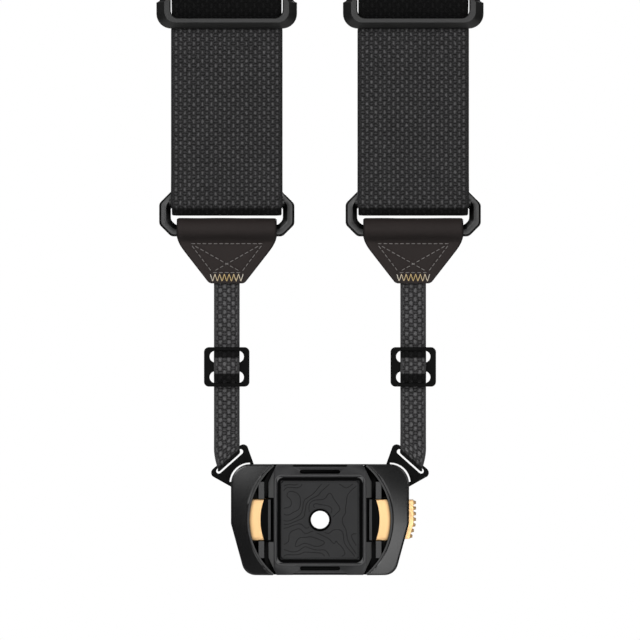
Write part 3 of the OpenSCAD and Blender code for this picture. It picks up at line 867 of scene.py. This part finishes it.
TAB_T = 1.5
TAB_FRONT = extent("tab_right")[0].y      # front of the fold
TAB_FACE = 1.9                            # half the thickness of the two layers together
TAB_LOOP_R = -TAB_FRONT - TAB_T / 2
TAB_FLAT_TOP = 102.4
TAB_HALF_WIDTH = [(TAB_LOW, 5.8), (TAB_LOW + 0.25, 6.5), (TAB_LOW + 0.7, 7.05), (TAB_LOW + 1.4, 7.6),
                  (99.6, 16.0), (101.2, 17.1), (102.4, 17.72), (103.5, 18.1), (104.8, 18.45), (105.6, 18.5),
                  (TAB_TOP, 18.5)]
BOX_LINES = [((-13.4, 102.1), (13.4, 102.1)), ((-5.4, 91.4), (5.4, 91.4)),
             ((-13.0, 101.5), (-5.7, 91.9)), ((13.0, 101.5), (5.7, 91.9)),
             ((-11.9, 101.3), (4.6, 92.0)), ((11.9, 101.3), (-4.6, 92.0))]
ZIGZAG_LOW, ZIGZAG_TOP = 88.15, 90.85


def near_line(x, z, a, b):
    """How far (x, z) is from the line a to b."""
    a, b, p = Vector(a), Vector(b), Vector((x, z))
    t = max(0.0, min(1.0, (p - a).dot(b - a) / (b - a).length_squared))
    return (p - a - (b - a) * t).length


def tab(side):
    x0 = LEG_X * SIDES[side]
    layer = TAB_FACE - TAB_T / 2
    rise = [(layer + (TAB_LOOP_R - layer) * ease((z - TAB_FLAT_TOP) / (RING_LOW - TAB_FLAT_TOP)), z)
            for z in steps(TAB_FLAT_TOP, RING_LOW, 12)]
    back = [(layer, TAB_LOW + d) for d in (0, 0.1, 0.25, 0.45, 0.7, 1.0, 1.4)]
    back += [(layer, z) for z in steps(TAB_LOW + 1.4, TAB_FLAT_TOP, 32)[1:]] + rise[1:]
    turn = [(TAB_LOOP_R * math.cos(a), RING_LOW + TAB_LOOP_R * math.sin(a))
            for a in steps(0, math.pi, 28)[1:-1]]
    path = back + turn + [(-y, z) for y, z in reversed(back)]
    unit = columns(2.0, 88, rim=0.025)
    widths = [along_line(TAB_HALF_WIDTH, z) for _, z in path]
    rows = [[at(x0 + u * w, y, z) for u in unit] for (y, z), w in zip(path, widths)]
    along = [0.0]
    for (y0, z0), (y1, z1) in zip(path, path[1:]):
        along.append(along[-1] + math.hypot(y1 - y0, z1 - z0))
    cut_edge = (0.3, 0.65)                         # shade at the leather's cut edge and next to it
    dent, dent_w = 0.22, 0.55                      # how deep and how wide the thread pulls the leather in

    def lift(i, j):
        y, z = path[i]
        x = unit[j] * widths[i]
        wave = 0.10 * noise.noise(Vector((x * 0.12 + 5 * SIDES[side], z * 0.12, y)))
        if y > 0 or z > TAB_FLAT_TOP + 0.6:
            return wave
        near = min(near_line(x, z, a, b) for a, b in BOX_LINES)
        return wave - dent * math.exp(-(near / dent_w) ** 2)

    def shade(i, j):
        y, z = path[i]
        # painted shade: a dark band across the front, where the leather falls away below its roll over the
        # ring's bar
        painted_band_shade = math.exp(-((z - 104.6) / 1.7) ** 2) if y < 0 else 0.0
        rim = min(j, len(unit) - 1 - j, i, len(path) - 1 - i)
        return (1 - 0.42 * painted_band_shade) * (cut_edge[rim] if rim < len(cut_edge) else 1.0)

    obj = strip("tab_leather_" + side, "leather", rows, TAB_T / 2, unit, along, shade, lift)
    return keep(obj, "hanger_" + side, "leather", "tab_" + side)


def stitches(side):
    """Short threads along the box and cross, their ends pulled into the leather."""
    x0 = LEG_X * SIDES[side]
    pitch, half_length, sunk, thick = 2.1, 0.72, 0.34, 0.165
    shapes = []
    for a, b in BOX_LINES:
        a, b = Vector(a), Vector(b)
        count = round((b - a).length / pitch)
        for k in range(count):
            centre, half = a.lerp(b, (k + 0.5) / count), (b - a).normalized() * half_length
            points, radius = [], []
            for t in steps(-1, 1, 8):
                p = centre + half * t
                sink = sunk * abs(t) ** 3
                points.append(at(x0 + p.x, -TAB_FACE - 0.02 + sink, p.y))
                radius.append(thick * (1 - 0.45 * t ** 4))
            shapes.append(tube(points, radius))
    obj = joined("box_stitches_" + side, "grey_thread", shapes)
    return keep(obj, "hanger_" + side, "grey_thread", "box_stitching_" + side)


def zigzag(side):
    """Dense tan thread back and forth across the tab's lower edge."""
    x0 = LEG_X * SIDES[side]
    shapes = []
    turns = steps(-ZIGZAG_HALF, ZIGZAG_HALF, 14)
    for k, (xa, xb) in enumerate(zip(turns, turns[1:])):
        za, zb = (ZIGZAG_LOW, ZIGZAG_TOP) if k % 2 else (ZIGZAG_TOP, ZIGZAG_LOW)
        points = []
        for t in steps(0, 1, 10):
            sink = 0.3 * abs(2 * t - 1) ** 4
            points.append(at(x0 + xa + (xb - xa) * t, -TAB_FACE - 0.10 + sink, za + (zb - za) * t))
        shapes.append(tube(points, [0.15] * len(points)))
    obj = joined("bartack_" + side + "_thread", "tan_thread", shapes)
    return keep(obj, "hanger_" + side, "tan_thread", "bartack_" + side)


NARROW_T = 0.94
FLEX_TOP = FLEX_Z + 3.8
FLEX_LOW = FLEX_Z - 3.6


def narrow_webbing(side):
    """The two layers of narrow webbing between the tab and the clamp's lug."""
    x0 = LEG_X * SIDES[side]
    cols = columns(NARROW_W, 12)
    heights = steps(TAB_LOW + 0.8, FLEX_TOP + 0.03, 30)
    layers = []
    for y in (-0.5, 0.5):
        rows = [[at(x0 + c, y, z) for c in cols] for z in heights]
        name = "narrow_webbing_%s_%s" % (side, "front" if y < 0 else "back")
        layers.append(strip(name, "narrow_webbing", rows, NARROW_T / 2, cols, heights))
    keep(layers[0], "hanger_" + side, "narrow_webbing", "narrow_webbing_" + side)
    keep(layers[1], "hanger_" + side, "narrow_webbing")


SLOT_A, SLOT_B = Vector((37.5, 17.9)), Vector((29.4, 25.1))   # middle line of the right lug's slot (x, z)


def lug_webbing(side):
    """Webbing that goes through the lug's slanted slot and back up."""
    sign = SIDES[side]
    slope = (SLOT_B.y - SLOT_A.y) / (SLOT_B.x - SLOT_A.x)
    cols = columns(NARROW_W, 12)
    over = 1.36                                    # middle of the webbing where it lies over the lug
    squeeze = 1.5                                  # how far the slot's upper end pushes the edge in
    lift, dip = 1.15, 0.95                         # where the turn starts above the slot, and its depth
    down = [("run", t) for t in steps(0, 1, 22)]
    turn = [("turn", a) for a in steps(0, math.pi, 12)[1:-1]]
    up = [("back", 1 - t) for _, t in down]
    rows, along = [], []
    for kind, t in down + turn + up:
        row = []
        for c in cols:
            part = 1.0 if kind == "turn" else max(0.0, (t - 0.45) / 0.55)
            x = c - squeeze * part ** 1.6 * ease((c + 1.0) / (NARROW_W / 2 + 1.0))
            fold = SLOT_A.y + slope * (LEG_X + x - SLOT_A.x) + lift
            if kind == "turn":
                y, z = -over * math.cos(t), fold - dip * math.sin(t)
            else:
                z = FLEX_TOP + (fold - FLEX_TOP) * t
                y = -0.5 - (over - 0.5) * ease((t - 0.15) / 0.6)
                y = y if kind == "run" else -y
            row.append(at(sign * (LEG_X + x), y, z))
        rows.append(row)
        mid = len(row) // 2
        along.append(along[-1] - (row[mid] - rows[-2][mid]).length / MM if along else FLEX_TOP)

    def shade(i, j):
        kind, t = (down + turn + up)[i]
        return 0.12 if kind == "turn" else 1 - 0.88 * ease((t - 0.9) / 0.1)

    obj = strip("lug_webbing_" + side, "narrow_webbing", rows, NARROW_T / 2, cols, along, shade)
    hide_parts("lug_loop_" + side)
    top, low = at(sign * LEG_X, 0, FLEX_TOP - 0.2), at(sign * LEG_X, 0, FLEX_LOW)
    tuple(top)
    tuple(low)
    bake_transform(obj)


# ---------------------------------------------------------------- clamp

CHEEK_FRONT = extent("clamp_body")[0].y
CHEEK_BACK = -4.9


def clamp_edge():
    """The right half of the clamp's outline in x and z, from the bottom to the top."""
    r, low_r = 7.0, 5.0
    low_z = low_r - HALF_H
    low_x = HALF_W - (low_r - (low_z - KNEE_Z) * math.sin(SLANT)) / math.cos(SLANT)
    points = [Vector((low_x, low_z)) + direction(a) * low_r for a in steps(-math.pi / 2, -SLANT, 10)]
    points.append(Vector((HALF_W, KNEE_Z)))
    points += [Vector((HALF_W - r, HALF_H - r)) + direction(a) * r for a in steps(0, math.pi / 2, 14)]
    return [Vector((0, -HALF_H))] + points + [Vector((0, HALF_H))]


def reach_of_edge(angle, edge):
    """How far the outline is from the middle of the clamp in this direction."""
    ray = direction(angle)
    for a, b in zip(edge, edge[1:]):
        d = b - a
        cross = ray.x * d.y - ray.y * d.x
        if abs(cross) < 1e-9:
            continue
        t = (a.x * d.y - a.y * d.x) / cross
        s = (a.x * ray.y - a.y * ray.x) / cross
        if t > 0 and -1e-6 <= s <= 1 + 1e-6:
            return t
    return CAVITY_R


def cheek(sign):
    """Points and faces of one cheek: a crowned face, a soft fall to the cavity's chamfer, a rounded rim."""
    edge = clamp_edge()
    limit = math.asin(HALF_H / CAVITY_R) * 0.9995
    turns = steps(-limit, limit, 96)
    parts = [0.03, 0.07, 0.12, 0.18, 0.25, 0.33, 0.42, 0.51,
             0.60, 0.69, 0.78, 0.85, 0.90, 0.94, 0.97, 0.99, 1.0]
    # a thin ledge inside the edge of the cavity, as (distance outwards from the edge, y)
    ledge = [(-0.75, -5.5), (-0.65, -5.65), (-0.25, -5.65), (-0.2, -5.3), (0.0, -5.3)]
    rim = 0.6                                      # radius of the outer rim
    verts = []
    for front in (True, False):
        for a in turns:
            far = max(reach_of_edge(a, edge), CAVITY_R + 0.02)
            line = [(CAVITY_R + inside, y) for inside, y in ledge]
            for k in parts:
                r = CAVITY_R + (far - CAVITY_R) * k
                inside, outside = r - CAVITY_R, far - r
                below = max(0.0, KNEE_Z - r * math.sin(a))
                lean = 0.15 * inside + 0.004 * inside ** 2 + 0.02 * below
                bevel = max(0.0, 0.35 - inside)
                drop = rim - math.sqrt(max(0.0, rim ** 2 - max(0.0, rim - outside) ** 2))
                line.append((r, min(CHEEK_FRONT + lean + bevel + drop, CHEEK_BACK - 0.3)))
            for r, y in line:
                verts.append(at(sign * r * math.cos(a), y if front else CHEEK_BACK, r * math.sin(a)))
    return verts, sheet_faces(len(turns), len(ledge) + len(parts))


def clamp_shell():
    """The clamp body: its lower part as designed, with shaped cheeks in front of it."""
    rail_front = -5.35                             # a little in front of the rails, which stay
    hair = 1e-7

    def lower_part(bm):
        plane = at(0, CHEEK_BACK, 0)
        bmesh.ops.bisect_plane(bm, geom=bm.verts[:] + bm.edges[:] + bm.faces[:], plane_co=plane,
                               plane_no=(0, -1, 0), dist=hair)
        loose = []
        for face in bm.faces:
            c = face.calc_center_median()
            rail = math.hypot(c.x / MM, height(c.z)) < CAVITY_R - 0.4 and c.y > rail_front * MM
            if c.y < plane.y - hair and not rail:
                loose.append(face)
        bmesh.ops.delete(bm, geom=loose, context="FACES")

    base = finished("clamp_body", "black_anodised", 0.18, keep_part=lower_part)
    keep(base, "clamp", "black_anodised", "clamp_body")
    for side, sign in SIDES.items():
        keep(joined("cheek_" + side, "black_anodised", [cheek(sign)], 28), "clamp", "black_anodised")


def plate_rim():
    """A thin bead round the plate's groove, with fillets in the groove's corners, both in a lighter finish
    that paints a highlight.
    """
    front = extent("quick_release_plate")[0].y
    groove, bead, half_bead, radius = 15.9, 16.55, 0.25, 2.4
    corners = [Vector(corner) for corner in ((1, 1), (-1, 1), (-1, -1), (1, -1))]

    def rounded(half, r):
        """One arc for each corner of a rounded square."""
        return [[corner * (half - r) + direction(a) * r
                 for a in steps(q * math.pi / 2, (q + 1) * math.pi / 2, 8)]
                for q, corner in enumerate(corners)]

    shapes = [band(sum(rounded(bead + half_bead, radius + half_bead), []),
                   sum(rounded(bead - half_bead, radius - half_bead), []),
                   [(0, front + 0.05), (0.3, front - 0.14), (0.7, front - 0.14), (1, front + 0.05)])]
    for corner, arc in zip(corners, rounded(groove - 0.2, radius - 0.3)):
        fan = arc + [corner * (groove + 0.1)]
        shapes.append(prism([[at(p.x, y, p.y) for p in fan] for y in (front + 0.02, front + 0.72)]))
    keep(joined("plate_rim", "plate_bead", shapes, 50), "plate", "black_satin")


# ---------------------------------------------------------------- plate pad with contour lines

def contour_pad():
    """The pad's face, with contour lines of a made-up landscape cut into it."""
    low, high = extent("plate_pad")
    half = (high.x - low.x) / 2
    cells = 220
    grid = steps(-half, half, cells)
    hole = 4.15
    line_depth, line_half = 0.16, 0.13
    round_r = 1.2                                  # radius of the pad's corners
    levels, fineness = 4.5, 0.10                   # contour lines in the land's height, size of its hills
    step = 0.05                                    # for measuring its slope

    def land(x, z):
        place = Vector((x * fineness + 2.4, z * fineness + 13.4, 0.4))
        bend = Vector((noise.noise(place * 1.6), noise.noise(place * 1.6 + Vector((9, 4, 2))), 0)) * 0.4
        return levels * noise.noise(place + bend)

    points, lines = [], []
    for x in grid:
        for z in grid:
            value = land(x, z)
            slope = math.hypot(land(x + step, z) - value, land(x, z + step) - value) / step
            off = abs(value - round(value)) / max(slope, 0.05)
            rim = half - max(abs(x), abs(z))
            near_hole = math.hypot(x, z) - hole
            line = max(0.0, 1 - (off / line_half) ** 2) if rim > 0.9 and near_hole > 0.7 else 0.0
            edge_drop = 0.35 * (1 - ease(rim / 0.45)) + 0.3 * (1 - ease(near_hole / 0.35))
            corner = Vector([max(0.0, abs(v) - half + round_r) for v in (x, z)])
            pull = round_r / max(corner.length, round_r)
            px, pz = [math.copysign(min(abs(v), half - round_r) + c * pull, v)
                      for v, c in zip((x, z), corner)]
            points.append(at(px, low.y + line_depth * line + edge_drop, pz))
            lines.append(line)
    faces = []
    for i in range(cells):
        for j in range(cells):
            x, z = (grid[i] + grid[i + 1]) / 2, (grid[j] + grid[j + 1]) / 2
            if math.hypot(x, z) > hole:
                k = i * (cells + 1) + j
                faces.append((k, k + cells + 1, k + cells + 2, k + 1))
    mesh = bpy.data.meshes.new("contour_pad")
    mesh.from_pydata([tuple(p) for p in points], [], faces)
    mesh.attributes.new("line", "FLOAT", "POINT").data.foreach_set("value", lines)
    bm = bmesh.new()
    bm.from_mesh(mesh)
    bmesh.ops.delete(bm, geom=[v for v in bm.verts if not v.link_faces], context="VERTS")
    centre = at(0, 0, 0)
    for v in bm.verts:
        flat = Vector((v.co.x - centre.x, 0, v.co.z - centre.z))
        if v.is_boundary and flat.length < (hole + 0.5) * MM:
            flat *= hole * MM / flat.length
            v.co.x, v.co.z = centre.x + flat.x, centre.z + flat.z
    rim = [e for e in bm.edges if e.is_boundary]
    walls = bmesh.ops.extrude_edge_only(bm, edges=rim)["geom"]
    for v in walls:
        if isinstance(v, bmesh.types.BMVert):
            v.co.y = high.y * MM
    close_up(bm)
    bm.to_mesh(mesh)
    bm.free()
    face_out(mesh, 50)
    obj = link(mesh, "contour_pad", "rubber")
    return keep(obj, "plate", "rubber", "plate_pad")


# ---------------------------------------------------------------- light, floor and camera

# name, place from the middle of the clamp, how far above it the lamp points, diameter (all metres), watts
LAMPS = [
    ("front", (0, -2.4, 0.15), 0, 1.0, 6.5),
    ("key", (-1.1, -1.2, 1.0), 0.1, 0.9, 18.0),
    ("side", (1.3, -1.1, 0.6), 0, 0.8, 5.0),
    ("low_right", (0.60, -1.9, -0.34), 0, 0.8, 7.5),
    ("high_left", (-0.72, -1.9, 0.5), 0, 0.4, 1.7),
    ("back", (0.9, 1.8, 0.9), 0.2, 0.9, 30.0),
]


def lamp(name, place, aim, size, power):
    data = bpy.data.lights.new(name, "AREA")
    data.shape = "DISK"
    data.size = size
    data.energy = power
    obj = bpy.data.objects.new(name, data)
    obj.location = place
    obj.rotation_mode = "QUATERNION"
    obj.rotation_quaternion = (Vector(place) - Vector(aim)).to_track_quat("Z", "Y")
    obj.visible_camera = False
    bpy.context.scene.collection.objects.link(obj)


def studio():
    """A white surround for the eye, and a dim one for the light, with soft lamps in front and one behind."""
    scene = bpy.context.scene
    scene.world = bpy.data.worlds.new("studio")
    g = Graph(scene.world)
    g.tree.nodes.clear()
    up = g.split(g.coordinate("Generated"))[2].at_least(0.0)
    soft, white = [g.add("ShaderNodeBackground") for _ in range(2)]
    g.put(0.13 + up * 0.3, soft.inputs["Strength"])
    for node in (soft, white):
        g.put(colour(1, 1, 1), node.inputs["Color"])
    seen = g.out(g.add("ShaderNodeLightPath"), "Is Camera Ray")
    picked = g.calc(g.add("ShaderNodeMixShader"), seen, g.out(soft), g.out(white))
    g.put(picked, g.add("ShaderNodeOutputWorld").inputs[0])

    for name, place, aim_up, size, power in LAMPS:
        lamp(name, at(0, 0, 0) + Vector(place), at(0, 0, 0) + Vector((0, 0, aim_up)), size, power)
    scene.view_settings.view_transform = "Standard"


def floor():
    """A pale disc below the hanging strap."""
    low = CAD_BOX[0][2] - 0.45
    radius, sides = 1.1, 96
    mesh = bpy.data.meshes.new("floor")
    turns = steps(0, 2 * math.pi, sides)[:-1]
    rim = [(radius * math.cos(a), radius * math.sin(a), low) for a in turns]
    mesh.from_pydata(rim, [], [tuple(range(sides))])
    link(mesh, "floor", "floor")


def camera():
    """Straight in front, far off, framing the clamp, both tabs and the lower ends of the wide sliders."""
    data = bpy.data.cameras.new("camera")
    view_w, view_z, distance = 237.0, 73.85, 2.0
    data.sensor_width = 36.0
    data.lens = data.sensor_width * distance / (view_w * MM)
    obj = bpy.data.objects.new("camera", data)
    obj.location = at(0, 0, view_z) + Vector((0, -distance, 0))
    obj.rotation_euler = (math.pi / 2, 0, 0)
    data.clip_start, data.clip_end = 0.1, 20
    bpy.context.scene.collection.objects.link(obj)
    bpy.context.scene.camera = obj


# ---------------------------------------------------------------- everything together

camera()
studio()
floor()

keep(neck_webbing(), "neck_strap", "webbing", "wide_webbing")
for side, sign in SIDES.items():
    wide_slider(side)
    slider = "wide_slider_" + side
    mid_z = height(middle(slider).z)
    wide_hump = hump("wide_hump_" + side, "webbing", sign * LEG_X, WIDE_W, 24, LAYER_T / 2,
                     (-3.2, mid_z - 8.9), (-6.6, mid_z), 0.3, 0.2)
    keep(wide_hump, slider, "webbing", "wide_webbing_hump_" + side)
    ring(side)
    tab(side)
    stitches(side)
    zigzag(side)
    narrow_webbing(side)
    lug_webbing(side)
    slider = "narrow_slider_" + side
    keep(finished(slider, "matte_black", 0.3, 3), slider, "black_metal", slider)
    mid_z = height(middle(slider).z)
    narrow_hump = hump("narrow_hump_" + side, "narrow_webbing", sign * LEG_X, NARROW_W, 12, NARROW_T / 2,
                       (-1.82, mid_z - 5.5), (-3.42, mid_z + 0.45), 0.3, 0.42)
    keep(narrow_hump, slider, "narrow_webbing", "narrow_webbing_hump_" + side)
    keep(finished("lug_" + side, "matte_black", 0.2), "clamp", "black_metal", "lug_" + side)

clamp_shell()
plate_rim()
contour_pad()
HARD_PARTS = [
    ("back_cover", "clamp", "black_satin", 0.35), ("cover_screws", "clamp", "black_steel", 0.15),
    ("left_carrier", "release", "gold_carrier", 0.35), ("thumb_button", "release", "gold_anodised", 0.18),
    ("left_jaw", "release", "jaw_black", 0.15), ("jaw_screws_left", "release", "steel", 0.1),
    ("right_carrier", "right_jaw", "gold_carrier", 0.35), ("right_jaw", "right_jaw", "jaw_black", 0.15),
    ("jaw_screws_right", "right_jaw", "steel", 0.1), ("pinion", "pinion", "brass", 0.08),
    ("quick_release_plate", "plate", "plate_satin", 0.2),
]
SLOT_OF = {"plate_satin": "black_satin", "jaw_black": "black_satin", "gold_carrier": "gold_anodised"}
for node, body, material, bevel in HARD_PARTS:
    keep(finished(node, material, bevel), body, SLOT_OF.get(material, material), node)
for side, joint in {"left": "release_button", "right": "right_jaw_slide"}.items():
    node = "return_spring_" + side
    spring = keep(finished(node, "steel", 0.0), "clamp", "steel", node)
    low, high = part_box(node)
    fixed = max(low.x, high.x, key=abs)
    travel = max(abs(limit) for limit in JOINT[joint]["range_m"])
    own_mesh(spring)
